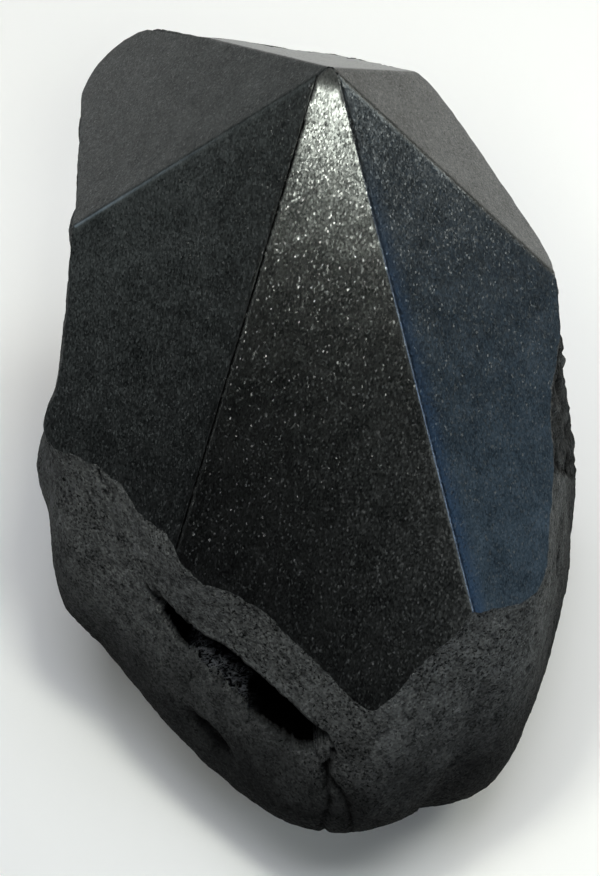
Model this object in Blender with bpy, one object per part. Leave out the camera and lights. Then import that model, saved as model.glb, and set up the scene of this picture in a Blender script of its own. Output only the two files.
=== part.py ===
# Half-ground hematite point. A rough chunk of hematite stands on a small flat foot; its upper
# part is ground to six flat facets that meet in a blunt point. The stone is one solid.
#
# Bearings are degrees around the upright, 0 at the front (-Y) and positive towards +X.
# Tilts are degrees above level, seen from the chunk's middle. Lengths are metres.

import math

import bmesh
import bpy
from mathutils import Vector

# overall
APEX_HEIGHT = 0.0700
MIDDLE = Vector((-0.0010, -0.0050, 0.0320))

# ground facets: the bearing each one faces, and its slope from level
FACETS = {
    "upper left": (-107.0, 39.0),
    "left": (-40.0, 45.0),
    "front": (-11.0, 44.5),
    "right": (52.4, 45.5),
    "upper right": (104.0, 47.7),
    "back": (167.5, 43.2),
}
# the front facet is ground a little deeper than the others, which blunts the point
FRONT_FACET_SETBACK = 0.00055

# rough skin: the chunk's broken faces, each the bearing and tilt of its outward side and its
# distance from the chunk's middle
BROKEN_FACES = {
    "left shoulder": (-89.5, 10.5, 0.0266),
    "left flank": (-92.5, -1.5, 0.0280),
    "left front": (-35.0, 21.0, 0.0269),
    "left front foot": (-53.0, -25.5, 0.0373),
    "right front": (27.5, 18.5, 0.0349),
    "right front foot": (23.5, -19.5, 0.0487),
    "right shoulder": (82.0, 9.0, 0.0256),
    "right flank": (69.0, 0.0, 0.0316),
    "back right": (123.0, 8.5, 0.0219),
    "back shoulder": (169.5, 45.0, 0.0314),
    "back": (176.0, -4.0, 0.0331),
    "back left": (-137.0, 7.5, 0.0409),
    "left underside": (-95.0, -44.0, 0.0350),
    "right underside": (85.0, -42.0, 0.0360),
    "front underside": (-12.0, -44.0, 0.0440),
    "back underside": (170.0, -40.0, 0.0340),
    "back left underside": (-135.0, -36.0, 0.0370),
}
CORNER_SHARPNESS = 18.0

# low swells and dents of the skin: bearing, tilt, reach in degrees, height
SWELLS = {
    "left corner": (-65.0, 13.0, 6.5, 0.0016),
    "left rim": (-38.5, 12.0, 8.5, 0.0008),
    "left front rim": (-24.0, 8.0, 10.0, 0.0019),
    "front rim": (1.5, -2.0, 8.5, -0.0010),
    "right front rim": (15.5, 1.0, 7.5, -0.0009),
    "right rim": (29.5, 5.0, 6.5, -0.0006),
    "right corner": (39.0, 3.0, 7.0, 0.0004),
    "right shoulder": (62.5, 22.0, 9.5, -0.0005),
    "front toe": (-2.0, -28.5, 11.0, 0.0013),
    "right toe": (20.5, -26.5, 9.5, -0.0011),
    "left toe": (-75.5, -14.5, 10.0, 0.0020),
    "left toe notch": (-41.0, -25.0, 8.0, -0.0014),
}

# gashes in the left front: bearing and tilt of each end of the upper lip, then the greatest
# opening in degrees and the greatest depth
GASHES = {
    "long gash": ((-34.0, -5.5), (2.0, -10.5), 6.5, 0.0050),
    "short gash": ((-22.0, -21.5), (-13.0, -23.5), 2.5, 0.0014),
}
GASH_STATIONS = 11
GASH_FULLNESS = 0.7      # power of the sine that swells a gash between its ends; less is blunter
GASH_DEEPEST_AT = 0.25   # part of the opening, from the upper lip down, where a gash is deepest
CUTTER_OVERRUN = 0.0020  # how far the cutter stands proud of the skin

# fineness of the faceted skin
COLUMNS = 96
ROWS = 46
SMOOTH_BELOW = math.radians(24.0)
SLIVER = 0.00003  # corners nearer than this to a ground plane or to each other become one


def outward(bearing, tilt):
    """Unit vector that faces a bearing and leans up by a tilt."""
    b, t = math.radians(bearing), math.radians(tilt)
    return Vector((math.cos(t) * math.sin(b), -math.cos(t) * math.cos(b), math.sin(t)))


def skin_radius(direction):
    """Distance from the chunk's middle to its rough skin in one direction."""
    nearness = 0.0
    for bearing, tilt, distance in BROKEN_FACES.values():
        facing = direction.dot(outward(bearing, tilt))
        if facing > 0.0:
            nearness += (facing / distance) ** CORNER_SHARPNESS
    radius = nearness ** (-1.0 / CORNER_SHARPNESS)
    for bearing, tilt, reach, height in SWELLS.values():
        away = math.degrees(direction.angle(outward(bearing, tilt)))
        radius += height * math.exp(-((away / reach) ** 2))
    return radius


def skin_point(bm, bearing, tilt, above=0.0):
    """New corner on the rough skin, or some way above or below it."""
    direction = outward(bearing, tilt)
    return bm.verts.new(MIDDLE + direction * (skin_radius(direction) + above))


def chunk(bm):
    """Closed rough chunk, all skin, before anything is ground from it."""
    rings = []
    for row in range(1, ROWS):
        tilt = 90.0 - 180.0 * row / ROWS
        rings.append([skin_point(bm, 360.0 * c / COLUMNS, tilt) for c in range(COLUMNS)])
    top = skin_point(bm, 0.0, 90.0)
    bottom = skin_point(bm, 0.0, -90.0)
    for c in range(COLUMNS):
        d = (c + 1) % COLUMNS
        bm.faces.new((top, rings[0][c], rings[0][d]))
        bm.faces.new((bottom, rings[-1][d], rings[-1][c]))
        for upper, lower in zip(rings, rings[1:]):
            bm.faces.new((upper[c], lower[c], lower[d], upper[d]))


def grind_flat(bm, point, facing):
    """Take away what stands beyond a plane, and close the stone with one flat face."""
    everything = bm.verts[:] + bm.edges[:] + bm.faces[:]
    cut = bmesh.ops.bisect_plane(bm, geom=everything, plane_co=point, plane_no=facing,
                                 dist=SLIVER, clear_outer=True)
    for corner in cut["geom_cut"]:
        if isinstance(corner, bmesh.types.BMVert):
            corner.co -= facing * (corner.co - point).dot(facing)
    rim = [edge for edge in bm.edges if edge.is_boundary]
    bmesh.ops.contextual_create(bm, geom=rim)


def ground_stone():
    """Mesh of the chunk with its facets and its foot ground flat."""
    apex = Vector((0.0, 0.0, APEX_HEIGHT))
    foot = Vector((0.0, 0.0, 0.0))
    bm = bmesh.new()
    chunk(bm)
    for facet, (bearing, slope) in FACETS.items():
        lowered = FRONT_FACET_SETBACK if facet == "front" else 0.0
        grind_flat(bm, apex - Vector((0.0, 0.0, lowered)), outward(bearing, 90.0 - slope))
    grind_flat(bm, foot, Vector((0.0, 0.0, -1.0)))
    bmesh.ops.recalc_face_normals(bm, faces=bm.faces[:])
    mesh = bpy.data.meshes.new("hematite_stone")
    bm.to_mesh(mesh)
    bm.free()
    return mesh


def gash_wedge(bm, start, end, opening, depth):
    """Pointed wedge, three-sided in section, whose flat top makes the gash's upper lip."""
    tip = skin_point(bm, *start, CUTTER_OVERRUN)
    tail = skin_point(bm, *end, CUTTER_OVERRUN)
    sections = []
    for station in range(1, GASH_STATIONS):
        along = station / GASH_STATIONS
        fullness = math.sin(math.pi * along) ** GASH_FULLNESS
        bearing = start[0] + (end[0] - start[0]) * along
        upper = start[1] + (end[1] - start[1]) * along
        lower = upper - opening * fullness
        deepest = upper - GASH_DEEPEST_AT * opening * fullness
        sections.append((
            skin_point(bm, bearing, upper, CUTTER_OVERRUN),
            skin_point(bm, bearing, deepest, -depth * fullness),
            skin_point(bm, bearing, lower, CUTTER_OVERRUN),
        ))
    for side in range(3):
        after = (side + 1) % 3
        bm.faces.new((tip, sections[0][side], sections[0][after]))
        bm.faces.new((tail, sections[-1][after], sections[-1][side]))
        for near, far in zip(sections, sections[1:]):
            bm.faces.new((near[side], far[side], far[after], near[after]))


def gash_cutter():
    """Guide body with one wedge for each gash, taken out of the stone by a Boolean."""
    bm = bmesh.new()
    for start, end, opening, depth in GASHES.values():
        gash_wedge(bm, start, end, opening, depth)
    bmesh.ops.recalc_face_normals(bm, faces=bm.faces[:])
    mesh = bpy.data.meshes.new("gash_cutter")
    bm.to_mesh(mesh)
    bm.free()
    cutter = bpy.data.objects.new("gash_cutter", mesh)
    cutter.hide_render = True
    cutter.display_type = "WIRE"
    bpy.context.scene.collection.objects.link(cutter)
    return cutter


def dark_hematite():
    """Steel-black stone with a half-matt grain."""
    material = bpy.data.materials.new("dark_hematite")
    material.use_nodes = True
    shader = material.node_tree.nodes["Principled BSDF"]
    shader.inputs["Base Color"].default_value = (0.060, 0.062, 0.066, 1.0)
    shader.inputs["Roughness"].default_value = 0.45
    shader.inputs["Metallic"].default_value = 0.3
    return material


def build():
    for old in list(bpy.data.objects):
        bpy.data.objects.remove(old)
    mesh = ground_stone()
    mesh.shade_smooth()
    mesh.set_sharp_from_angle(angle=SMOOTH_BELOW)
    mesh.materials.append(dark_hematite())
    stone = bpy.data.objects.new("hematite_stone", mesh)
    bpy.context.scene.collection.objects.link(stone)

    cut = stone.modifiers.new("gashes", "BOOLEAN")
    cut.operation = "DIFFERENCE"
    cut.solver = "EXACT"
    cut.object = gash_cutter()
    weld = stone.modifiers.new("slivers", "WELD")
    weld.merge_threshold = SLIVER

    # the stone stands over the middle of its own outline
    xs = [vertex.co.x for vertex in mesh.vertices]
    ys = [vertex.co.y for vertex in mesh.vertices]
    shift = Vector((-(min(xs) + max(xs)) / 2.0, -(min(ys) + max(ys)) / 2.0, 0.0))
    for piece in (stone, cut.object):
        piece.location = shift


build()
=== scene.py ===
# Looks of the half-ground hematite point: the broken skin with its gash, seams, dents and pits, the six
# ground facets with their worn edges, the finish of each, and a pale studio seen from the front and above.
#
# Bearings are degrees around the upright, 0 at the front (-Y) and positive towards +X.
# Tilts are degrees above level, seen from the stone's middle. Lengths are metres unless a name says mm.
# Lumps are given as their height, their width in mm and a seed. Two values together that a comment doesn't
# explain are the ends of a smooth ramp.

import math
from itertools import combinations

import bmesh
import bpy
import numpy as np
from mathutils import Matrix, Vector, noise
from mathutils.geometry import delaunay_2d_cdt


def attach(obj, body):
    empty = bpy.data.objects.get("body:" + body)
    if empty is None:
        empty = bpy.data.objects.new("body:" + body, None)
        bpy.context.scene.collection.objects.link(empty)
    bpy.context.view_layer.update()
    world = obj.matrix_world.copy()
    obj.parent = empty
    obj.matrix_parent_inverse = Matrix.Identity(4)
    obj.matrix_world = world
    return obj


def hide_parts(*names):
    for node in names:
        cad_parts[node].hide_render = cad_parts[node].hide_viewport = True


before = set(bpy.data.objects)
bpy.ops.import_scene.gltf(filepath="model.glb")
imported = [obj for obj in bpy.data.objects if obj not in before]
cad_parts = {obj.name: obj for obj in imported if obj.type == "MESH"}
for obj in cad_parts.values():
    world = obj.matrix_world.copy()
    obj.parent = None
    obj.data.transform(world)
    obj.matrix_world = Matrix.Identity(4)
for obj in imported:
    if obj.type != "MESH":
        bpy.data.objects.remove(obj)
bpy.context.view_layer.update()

MM = 0.001

# overall shape, as the stone was constructed: how far its plan lies from the origin, the point that its
# facets meet in, and the middle that its skin is measured from
PLAN_SHIFT = np.array((0.001523, 0.009425, 0.0))
APEX = PLAN_SHIFT + (0.0, 0.0, 0.0700)
MIDDLE = PLAN_SHIFT + (-0.0010, -0.0050, 0.0320)

# ground facets: the bearing each one faces, and its slope from level
FACETS = {
    "upper left": (-107.0, 39.0),
    "left": (-40.0, 45.0),
    "front": (-11.0, 44.5),
    "right": (52.4, 45.5),
    "upper right": (104.0, 47.7),
    "back": (167.5, 43.2),
}
# the front facet is ground a little deeper than the others, which blunts the point
FRONT_FACET_SETBACK = 0.00055

# rough skin: the chunk's broken faces, each the bearing and tilt of its outward side and its
# distance from the chunk's middle
BROKEN_FACES = (
    (-89.5, 10.5, 0.0266), (-92.5, -1.5, 0.0280), (-35.0, 21.0, 0.0269), (-53.0, -25.5, 0.0373),
    (27.5, 18.5, 0.0349), (23.5, -19.5, 0.0487), (82.0, 9.0, 0.0256), (69.0, 0.0, 0.0316),
    (123.0, 8.5, 0.0219), (169.5, 45.0, 0.0314), (176.0, -4.0, 0.0331), (-137.0, 7.5, 0.0409),
    (-95.0, -44.0, 0.0350), (85.0, -42.0, 0.0360), (-12.0, -44.0, 0.0440), (170.0, -40.0, 0.0340),
    (-135.0, -36.0, 0.0370),
)
CORNER_SHARPNESS = 18.0

# low swells and dents of the skin: bearing, tilt, reach in degrees, height
SWELLS = (
    (-65.0, 13.0, 6.5, 0.0016), (-38.5, 12.0, 8.5, 0.0008), (-24.0, 8.0, 10.0, 0.0019),
    (1.5, -2.0, 8.5, -0.0010), (15.5, 1.0, 7.5, -0.0009), (29.5, 5.0, 6.5, -0.0006),
    (39.0, 3.0, 7.0, 0.0004), (62.5, 22.0, 9.5, -0.0005), (-2.0, -28.5, 11.0, 0.0013),
    (20.5, -26.5, 9.5, -0.0011), (57.0, -26.0, 8.0, 0.0006), (-75.5, -14.5, 10.0, 0.0020),
    (-41.0, -25.0, 8.0, -0.0014), (-65.0, -17.5, 9.0, -0.0006), (-110.0, 14.0, 15.0, -0.0006),
    (-144.5, 21.0, 3.5, -0.0005), (-151.5, 27.5, 3.0, 0.0004), (-136.0, 21.0, 3.0, 0.0004),
)

# relief of the broken skin, as lumps in mm
SKIN_LUMPS = ((0.26, 6.5, 1), (0.13, 2.4, 2), (0.095, 1.1, 3), (0.060, 0.55, 4))
# how much rougher the back is, and the bearings and depths below the facets over which it gets so
BACK_ROUGHNESS, BACK_FROM, RIM_REACH_MM = 2.0, (92.0, 125.0), (1.0, 6.0)
# scallops of the back, where the stone was broken off: how wide and how deep they are, the level at which
# they cut the plain skin, and how wide and how far the waves reach that bend them along each axis
SCALLOP_WIDTH_MM, SCALLOP_MM, SCALLOP_LEVEL = 7.5, 1.3, 0.3
SCALLOP_WAVE_MM, SCALLOP_BEND_MM, SCALLOP_SEEDS = 4.5, 1.6, (26, 27, 28)
# pits: how far apart and how deep, and the share of places with one near the rim and away from it
PIT_SPACING_MM, PIT_DEPTH_MM, PIT_SEED = 0.85, 0.22, 9
PITS_AT_RIM, PITS_BELOW = 0.75, 0.25
# their outline in shares of the spacing, how far under the rim they start, and how dark the shade painted in
# them is
PIT_OUTLINE, PITS_FROM_MM, PIT_SHADE = (0.08, 0.42), (0.1, 0.4), 0.5

# open pores, whose black is painted shade: how far below the rim they are frequent and where they end, and
# the patches they come in
PORES_BELOW_RIM_MM = (2.0, 8.0)
PORE_PATCHES, PORE_PATCH_BORDER = (1.0, 7.0, 23), (-0.35, 0.15)

# shift between the noise of one seed and of the next, and the factor that spreads the pits' own draws
SEED_SHIFT, PIT_DRAW = 31.7, 7.3

# columns of the skin's mesh: from one bearing to the next, and the step between them
SKIN_COLUMNS = ((-180.0, -84.0, 1.00), (-84.0, -38.0, 0.42), (-38.0, -1.0, 0.31), (-1.0, 6.0, 0.21),
                (6.0, 62.0, 0.38), (62.0, 88.0, 0.42), (88.0, 104.0, 0.55), (104.0, 180.0, 1.00))
# rows of the skin's mesh: rim to gash, across the gash, gash to foot
ROWS_ABOVE, ROWS_ACROSS, ROWS_BELOW = 27, 24, 67
# tilts between which the rim lies and the foot lies, and the lengths between which a facet edge ends
RIM_TILTS, FOOT_TILTS, EDGE_LENGTHS = (-20.0, 62.0), (-20.0, -88.0), (0.002, 0.080)
LIP_BELOW_RIM = 1.2       # degrees that the rows above the gash take at least
HALVINGS = 26

# long gash: bearing, tilt of its upper lip, its opening in degrees of tilt, then in mm the depth of the
# crevice under the lip and the depth of the floor in front of it, and how black the shade painted on that
# floor is
LONG_GASH = (
    (-34.2, -5.3, 0.0, 0.0, 0.0, 1.0), (-32.6, -5.4, 1.2, 1.8, 1.6, 1.0), (-30.8, -5.6, 2.4, 3.0, 2.8, 1.0),
    (-28.6, -5.8, 4.6, 4.0, 3.6, 1.0), (-26.0, -6.3, 5.4, 4.4, 3.8, 1.0), (-23.6, -7.1, 5.6, 4.4, 2.6, 1.0),
    (-21.8, -7.3, 6.2, 4.4, 1.1, 0.2), (-19.8, -7.4, 7.4, 4.2, 0.8, 0.0), (-16.5, -7.0, 8.4, 4.0, 0.7, 0.0),
    (-13.3, -7.5, 7.9, 4.4, 0.9, 0.1), (-11.2, -8.1, 7.2, 5.0, 2.2, 0.9), (-8.0, -8.8, 6.7, 5.4, 4.4, 1.0),
    (-5.0, -9.4, 6.2, 5.4, 5.0, 1.0), (-2.6, -9.9, 5.0, 4.8, 4.6, 1.0), (-0.2, -10.3, 3.0, 3.4, 3.2, 1.0),
    (1.6, -10.8, 0.0, 0.0, 0.0, 1.0),
)
GASH_UNDERCUT = 1.6       # degrees that the crevice runs up behind the upper lip
GASH_WALL = 0.2           # share of the rows across the gash that make the wall under its upper lip
WALL_ROUNDING = 0.7       # power by which that wall falls away from the lip
LEAST_OPENING = 0.01      # degrees of opening that stand for a closed gash
LEAST_GASH_BAND = 3.4     # degrees of tilt that the mesh keeps fine where the gash is narrower or ends
# degrees of opening over which the gash gets its depth, and its wall and undercut
GASH_OPENS, GASH_GAPES = (0.0, 1.0), (0.2, 2.4)
# bearings over which the mesh's rows turn to follow the gash and leave it
GASH_ROWS_START, GASH_ROWS_END = (-46.0, -36.0), (2.0, 13.0)
# shares of the opening over which the crevice, its undercut and its black painted shade end
CREVICE_END, UNDERCUT_END, CREVICE_BLACK_END = (0.10, 0.40), (0.0, 0.3), (0.30, 0.56)
# share of the opening from which the floor rises to the lower lip, and how much later it does where it
# is deep or black
FLOOR_RISE, FLOOR_RISE_LATER, DEEP_FLOOR_MM = 0.40, 0.45, (1.0, 2.5)
GASH_FINISH_FROM_MM = 0.12  # depth from which the surface has the gash's finish
DARK_MM = (0.9, 2.2)        # depths at which painted shade starts to darken the gash's fibrous floor and makes it black
PIT_DARK_MM = (0.10, 0.55)  # the same where the whole floor is black with painted shade
# how uneven the painted shade is by depth, at the black's ends, in degrees of bearing, and along the crevice
DEPTH_UNEVEN, BLACK_WANDER, CREVICE_RAGGED = (0.7, 0.8, 19), (1.8, 0.9, 30), (0.5, 0.9, 25)

# fibres of the gash's floor: their width and height, their lean from level in degrees, how far that swings,
# and how many swings there are to a degree of arc
FIBRE_MM, FIBRE_HEIGHT_MM, FIBRE_LEAN, FIBRE_SWING, SWINGS = 0.62, 0.34, -24.0, 75.0, 0.22
# how fast a fibre changes along its way and with its swing, and the mm to a degree of arc at the gash
FIBRE_ALONG, FIBRE_CHANGE, GASH_MM_PER_DEGREE = 0.25, 5.0, 0.75
# shares of the opening over which fibres start and end, and the floor's depth from which they are full
FIBRES_START, FIBRES_END, FIBRES_FULL_MM = (0.1, 0.3), (1.0, 1.5), 0.5

# painted shade on the skin's underside: from which height to which it fades out, how ragged and how dark it
# is
UNDERSIDE_MM, UNDERSIDE_RAGGED, UNDERSIDE_SHADE = (12.0, 31.0), (3.0, 4.0, 18), 0.92
# and more painted shade where it faces down: the upward share of its facing at which that begins and ends
UNDERCUT_FACING, UNDERCUT_SHADE = (-0.30, 0.08), 0.95

# seams in the skin: the bearing and tilt of each point along one, then its width and depth in mm
SEAMS = (
    (((1.2, -10.9), (2.0, -12.5), (0.9, -15.2), (1.4, -18.9), (0.6, -24.0), (1.2, -30.0)), 0.34, 0.55),
    (((0.9, -15.2), (3.2, -16.9), (4.1, -18.7), (4.6, -25.0)), 0.26, 0.40),
    (((-33.9, -5.5), (-31.4, -6.9), (-29.0, -8.2)), 0.22, 0.45),
    (((-32.0, -4.4), (-29.8, -5.4), (-27.2, -6.1)), 0.18, 0.35),
    (((-17.0, -9.6), (-14.6, -10.9), (-13.5, -12.6), (-9.5, -13.8)), 0.22, 0.30),
)
# how far seams and borders wander, as lumps in mm, and how full a seam is and how uneven that is
SEAM_WANDER_MM = 0.35
WANDERS = ((SEAM_WANDER_MM, 1.5, 12), (0.4 * SEAM_WANDER_MM, 0.6, 13))
SEAM_FILL, SEAM_UNEVEN = 0.75, (0.6, 0.9, 14)

# dents in the skin: bearing and tilt, half length and half width in mm, turn from level, depth in mm
DENTS = (
    (-50.2, 12.0, 0.62, 0.26, -52.0, 0.50),
    (-48.0, 9.3, 0.34, 0.20, -40.0, 0.25),
    (0.9, -15.2, 0.55, 0.40, 60.0, 0.80),
    (2.0, -12.6, 0.34, 0.25, 30.0, 0.50),
    (-17.3, -22.9, 3.00, 1.00, -4.0, 1.00),
    (51.3, -14.5, 1.50, 0.80, 60.0, 0.55),
    (48.0, -7.5, 0.70, 0.40, 20.0, 0.30),
    (-11.0, 2.5, 0.40, 0.25, 10.0, 0.30),
    (33.0, -11.0, 0.50, 0.35, -30.0, 0.30),
)
# their border in shares of their half length and width, how much it wanders, how dark the shade painted in a
# dent is, and the depth from which it is so
DENT_BORDER, DENT_WANDER, DENT_SHADE, DARK_DENT_MM = (0.5, 1.25), 0.5, 0.9, 0.5

# ledge at the right front: its crest, how far the skin drops to its right, the mm past the crest over
# which it drops and comes back, and its share of the wander
LEDGE = ((20.6, -12.5), (18.8, -15.6), (17.3, -19.1), (14.4, -23.0), (12.0, -28.0))
LEDGE_DROP_MM, LEDGE_SLOPE_MM, LEDGE_RETURN_MM, LEDGE_WANDER = 0.75, (0.0, 0.45), (1.0, 6.5), 0.6

# hackly hollow in the right flank: its lower left border, how deep and rough it is, in mm, and its border's
# share of the wander
HOLLOW_BORDER = ((47.0, 22.0), (51.6, 12.8), (60.0, 1.5), (72.5, -17.8), (82.0, -28.0))
HOLLOW_DEPTH_MM, HOLLOW_ROUGHNESS_MM, HOLLOW_WANDER = 0.25, 0.9, 1.2
# mm past the border and below the facets over which it starts, and bearings over which it ends
HOLLOW_START_MM, HOLLOW_BELOW_MM, HOLLOW_END = (0.0, 0.5), (0.3, 1.1), (90.0, 104.0)
# its hackles as lumps and ridges
HACKLES, HACKLE_RIDGES = ((0.8, 2.8, 15), (0.35, 1.2, 16)), (0.5, 2.0, 17)
# how dark the shade painted in it is, how uneven that is, how much a hackle pales it, and bearings over which
# it fades
HOLLOW_SHADE, HOLLOW_UNEVEN, HACKLE_PALENESS, HOLLOW_FADE = 0.62, (0.35, 1.1, 22), 0.5, (80.0, 98.0)
# its black edge, a painted shadow line: how far in from the border, its half width, how dark it is, and
# bearings over which it ends
EDGE_IN_MM, EDGE_HALF_MM, HOLLOW_EDGE_SHADOW, EDGE_FADE = 0.3, 0.35, 0.9, (80.0, 92.0)


def outward(bearing, tilt):
    """Unit vectors that face each bearing and lean up by each tilt."""
    around, up = np.radians(bearing), np.radians(tilt)
    return np.stack([np.cos(up) * np.sin(around), -np.cos(up) * np.cos(around), np.sin(up)], axis=-1)


def smoothly(value, low, high):
    """0 at low, 1 at high, and a smooth ramp between."""
    share = np.clip((value - low) / (high - low), 0.0, 1.0)
    return share * share * (3.0 - 2.0 * share)


def lumps(points, height, width_mm, seed):
    """Smooth noise up to this height either way, whose lumps are about this wide."""
    places = points / (width_mm * MM) + SEED_SHIFT * seed
    return height * np.array([noise.noise(place) for place in places.tolist()])


def pits(points):
    """1 in the middle of scattered round pits, 0 outside them, and how rare each is."""
    places = points / (PIT_SPACING_MM * MM) + SEED_SHIFT * PIT_SEED
    middle, rarity = np.empty(len(places)), np.empty(len(places))
    for k, place in enumerate(places.tolist()):
        distances, centres = noise.voronoi(place)
        middle[k] = distances[0]
        rarity[k] = noise.cell(centres[0] * PIT_DRAW) % 1.0
    return 1.0 - smoothly(middle, *PIT_OUTLINE), rarity


NAMES = list(FACETS)
NORMALS = {name: outward(bearing, 90.0 - slope) for name, (bearing, slope) in FACETS.items()}
PLANE_POINTS = {name: APEX - (0.0, 0.0, FRONT_FACET_SETBACK if name == "front" else 0.0) for name in FACETS}
DOWN_FRONT = outward(FACETS["front"][0], -FACETS["front"][1])


def heights_above(points):
    """Distance of each point above each facet's plane."""
    return np.stack([(points - PLANE_POINTS[name]) @ NORMALS[name] for name in NAMES], axis=-1)


def bare_radius(ways):
    """Distance from the stone's middle to its skin in each direction, without the fine relief."""
    nearness = np.zeros(len(ways))
    for bearing, tilt, distance in BROKEN_FACES:
        facing = np.maximum(ways @ outward(bearing, tilt), 0.0)
        nearness += (facing / distance) ** CORNER_SHARPNESS
    radius = nearness ** (-1.0 / CORNER_SHARPNESS)
    for bearing, tilt, reach, height in SWELLS:
        away = np.degrees(np.arccos(np.clip(ways @ outward(bearing, tilt), -1.0, 1.0)))
        radius += height * np.exp(-((away / reach) ** 2))
    return radius


def from_line(bearing, tilt, line):
    """Distance from a line over the skin, in degrees of arc, and its side: 1 left along it, -1 right."""
    nearest, side = np.full(len(bearing), np.inf), np.zeros(len(bearing))
    for (start_bearing, start_tilt), (end_bearing, end_tilt) in zip(line, line[1:]):
        flattened = math.cos(math.radians(start_tilt))
        across, up = (bearing - start_bearing) * flattened, tilt - start_tilt
        along_across, along_up = (end_bearing - start_bearing) * flattened, end_tilt - start_tilt
        share = (across * along_across + up * along_up) / (along_across ** 2 + along_up ** 2)
        share = np.clip(share, 0.0, 1.0)
        away = np.hypot(across - share * along_across, up - share * along_up)
        side = np.where(away < nearest, np.sign(along_across * up - along_up * across), side)
        nearest = np.minimum(nearest, away)
    return nearest, side


class Patch:
    """Places on the bare skin: their bearings and tilts, their points and their depths below the facets in
    mm, the mm to a degree of arc there, and how far a line drawn there wanders, in mm."""

    def __init__(self, bearing, tilt, bare, below):
        self.bearing, self.tilt, self.bare, self.below = bearing, tilt, bare, below
        self.mm_per_degree = np.radians(np.linalg.norm(bare - MIDDLE, axis=1)) / MM
        self.wander = sum(lumps(bare, *wander) for wander in WANDERS)

    def beyond(self, line, wander=1.0):
        """Distance in mm past a line to its left, less than 0 to its right."""
        away, side = from_line(self.bearing, self.tilt, line)
        return away * self.mm_per_degree * side + wander * self.wander


def seams(patch):
    """Cut of each seam: how far it sinks the skin, in mm, and how dark the shade painted in it is."""
    for line, width, depth in SEAMS:
        fill = np.exp(-((patch.beyond(line) / width) ** 2)) * (SEAM_FILL + lumps(patch.bare, *SEAM_UNEVEN))
        yield depth * fill, fill


def dents(patch):
    """Cut of each dent, in the same way."""
    for bearing, tilt, half_length, half_width, turn, depth in DENTS:
        across = (patch.bearing - bearing) * math.cos(math.radians(tilt)) * patch.mm_per_degree
        up = (patch.tilt - tilt) * patch.mm_per_degree
        turned = math.radians(turn)
        along = across * math.cos(turned) + up * math.sin(turned)
        aside = up * math.cos(turned) - across * math.sin(turned)
        away = np.hypot(along / half_length, aside / half_width) + DENT_WANDER * patch.wander
        fill = 1.0 - smoothly(away, *DENT_BORDER)
        yield depth * fill, DENT_SHADE * fill * min(1.0, depth / DARK_DENT_MM)


def ledge(patch):
    """Drop of the skin past the top of the ledge, which isn't dark."""
    beyond = patch.beyond(LEDGE, LEDGE_WANDER)
    yield LEDGE_DROP_MM * smoothly(beyond, *LEDGE_SLOPE_MM) * (1.0 - smoothly(beyond, *LEDGE_RETURN_MM)), 0.0


def hollow(patch):
    """Hackly hollow in the right flank with painted shade in it, then the painted black shadow line along its
    border, which doesn't sink the skin.
    """
    beyond = patch.beyond(HOLLOW_BORDER, HOLLOW_WANDER)
    below = smoothly(patch.below, *HOLLOW_BELOW_MM)
    within = smoothly(beyond, *HOLLOW_START_MM) * (1.0 - smoothly(patch.bearing, *HOLLOW_END)) * below
    hackles = sum(lumps(patch.bare, *hackle) for hackle in HACKLES)
    hackles = hackles - np.abs(lumps(patch.bare, *HACKLE_RIDGES))
    darkness = HOLLOW_SHADE + lumps(patch.bare, *HOLLOW_UNEVEN) - HACKLE_PALENESS * hackles
    fade = 1.0 - smoothly(patch.bearing, *HOLLOW_FADE)
    yield within * (HOLLOW_DEPTH_MM - HOLLOW_ROUGHNESS_MM * hackles), within * fade * darkness
    edge = np.exp(-((beyond - EDGE_IN_MM) / EDGE_HALF_MM) ** 2) * below
    yield 0.0, HOLLOW_EDGE_SHADOW * edge * (1.0 - smoothly(patch.bearing, *EDGE_FADE))


def carved(patch):
    """How far seams, dents, the ledge and the hollow sink the skin, in mm, and how dark the shade painted in
    them is.
    """
    sink, dark = np.zeros(len(patch.bare)), np.zeros(len(patch.bare))
    for cuts in (seams, dents, ledge, hollow):
        for deeper, darker in cuts(patch):
            sink = sink + deeper
            dark = np.maximum(dark, darker)
    return sink, np.clip(dark, 0.0, 1.0)


def skin(bearing, tilt):
    """Points on the rough skin with its fine relief, and how dark the shade painted in a pit or a seam makes
    each one.
    """
    ways = outward(bearing, tilt)
    bare = MIDDLE + ways * bare_radius(ways)[:, None]
    below = -heights_above(bare).max(axis=1) / MM
    near_rim = 1.0 - smoothly(below, *RIM_REACH_MM)
    rough = 1.0 + (BACK_ROUGHNESS - 1.0) * smoothly(np.abs(bearing), *BACK_FROM)
    rough = rough - (rough - 1.0) * near_rim
    bends = [lumps(bare, SCALLOP_BEND_MM * MM, SCALLOP_WAVE_MM, seed) for seed in SCALLOP_SEEDS]
    bent = bare + np.stack(bends, axis=1)
    scallop = np.array([noise.voronoi(place)[0][0] for place in (bent / (SCALLOP_WIDTH_MM * MM)).tolist()])
    relief = sum(lumps(bare, *lump) for lump in SKIN_LUMPS)
    relief = relief + SCALLOP_MM * (rough - 1.0) * (scallop ** 2 - SCALLOP_LEVEL)
    pit, rarity = pits(bare)
    pit = pit * (rarity < PITS_BELOW + (PITS_AT_RIM - PITS_BELOW) * near_rim) * smoothly(below, *PITS_FROM_MM)
    sink, dark = carved(Patch(bearing, tilt, bare, below))
    relief = (relief * rough - PIT_DEPTH_MM * pit - sink) * MM
    return bare + ways * relief[:, None], np.maximum(dark, PIT_SHADE * pit)


def turning_value(still, low, high, count):
    """Where each of these tests, which hold at low and fail at high, changes over, by halving."""
    low, high = np.full(count, low), np.full(count, high)
    for _ in range(HALVINGS):
        middle = (low + high) / 2.0
        holds = still(middle)
        low, high = np.where(holds, middle, low), np.where(holds, high, middle)
    return low


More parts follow.
